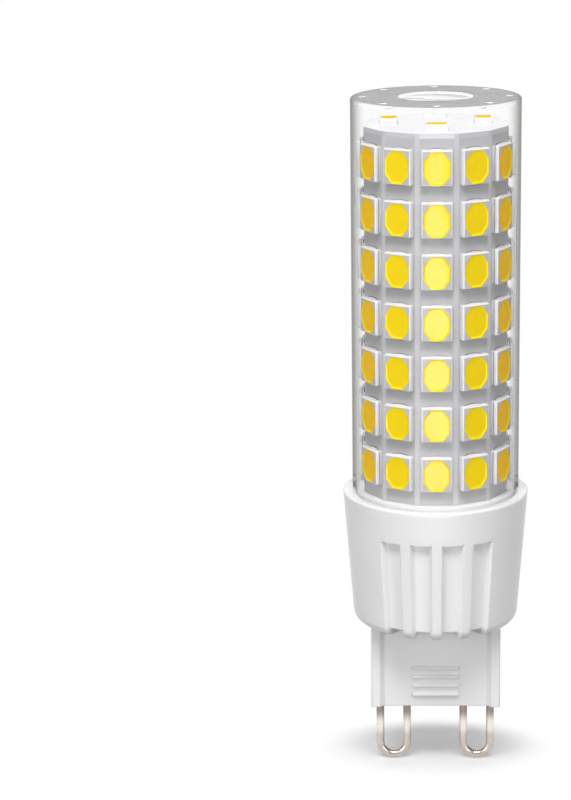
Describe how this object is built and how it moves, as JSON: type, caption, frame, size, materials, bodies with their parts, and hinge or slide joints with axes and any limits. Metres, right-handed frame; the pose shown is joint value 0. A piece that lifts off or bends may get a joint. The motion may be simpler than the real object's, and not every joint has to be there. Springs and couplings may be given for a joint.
{
  "type": "corn led bulb",
  "caption": "Corn-style LED bulb: a folded tube of LED boards under a clear cover, on a fluted white base with a two-loop bi-pin cap.",
  "frame": {"origin": "centre of the cap block's bottom face, which seats in the lamp holder", "axes": "+Z along the bulb's axis towards the closed end of the clear cover; -Y is the front, a flat face of the cap block; X runs from pin loop to pin loop"},
  "size_m": [0.0196, 0.0196, 0.0724],
  "materials": {
    "clear_cover": "clear moulded plastic, polished",
    "base_plastic": "white moulded plastic, semi-gloss",
    "pin_metal": "drawn wire, dull plated",
    "led_board": "board with a pale matt coat",
    "top_board": "board with a white matt coat",
    "led_package": "white moulded housing",
    "phosphor": "yellow phosphor in clear resin",
    "circuit_board": "laminate with a green coat",
    "capacitor_sleeve": "shrunk sleeve",
    "resistor_body": "lacquered body",
    "chip_black": "black moulding compound",
    "chip_resistor": "glazed ceramic chip",
    "tinned_wire": "tinned",
    "lead_insulation": "insulated wire",
    "solder": "bright solder"
  },
  "bodies": {
    "root": {"clear_cover": "clear_cover", "base_body": "base_plastic", "pin_loop_left": "pin_metal", "pin_loop_right": "pin_metal", "led_board_tube": "led_board", "top_led_board": "top_board", "top_board_solder": "solder", "top_led_packages": "led_package", "top_phosphor_windows": "phosphor", "driver_board": "circuit_board", "smoothing_capacitor": "capacitor_sleeve", "capacitor_leads": "tinned_wire", "fusible_resistor": "resistor_body", "resistor_leads": "tinned_wire", "bridge_rectifier": "chip_black", "rectifier_legs": "tinned_wire", "driver_chip_lower": "chip_black", "driver_chip_upper": "chip_black", "driver_chip_legs": "tinned_wire", "chip_resistors": "chip_resistor", "input_lead_left": "lead_insulation", "input_lead_right": "lead_insulation", "output_lead_left": "lead_insulation", "output_lead_right": "lead_insulation", "lead_solder_joints": "solder", "led_packages_column_01": "led_package", "phosphor_windows_column_01": "phosphor", "led_packages_column_02": "led_package", "phosphor_windows_column_02": "phosphor", "led_packages_column_03": "led_package", "phosphor_windows_column_03": "phosphor", "led_packages_column_04": "led_package", "phosphor_windows_column_04": "phosphor", "led_packages_column_05": "led_package", "phosphor_windows_column_05": "phosphor", "led_packages_column_06": "led_package", "phosphor_windows_column_06": "phosphor", "led_packages_column_07": "led_package", "phosphor_windows_column_07": "phosphor", "led_packages_column_08": "led_package", "phosphor_windows_column_08": "phosphor", "led_packages_column_09": "led_package", "phosphor_windows_column_09": "phosphor", "led_packages_column_10": "led_package", "phosphor_windows_column_10": "phosphor", "led_packages_column_11": "led_package", "phosphor_windows_column_11": "phosphor", "led_packages_column_12": "led_package", "phosphor_windows_column_12": "phosphor"}
  },
  "joints": []
}
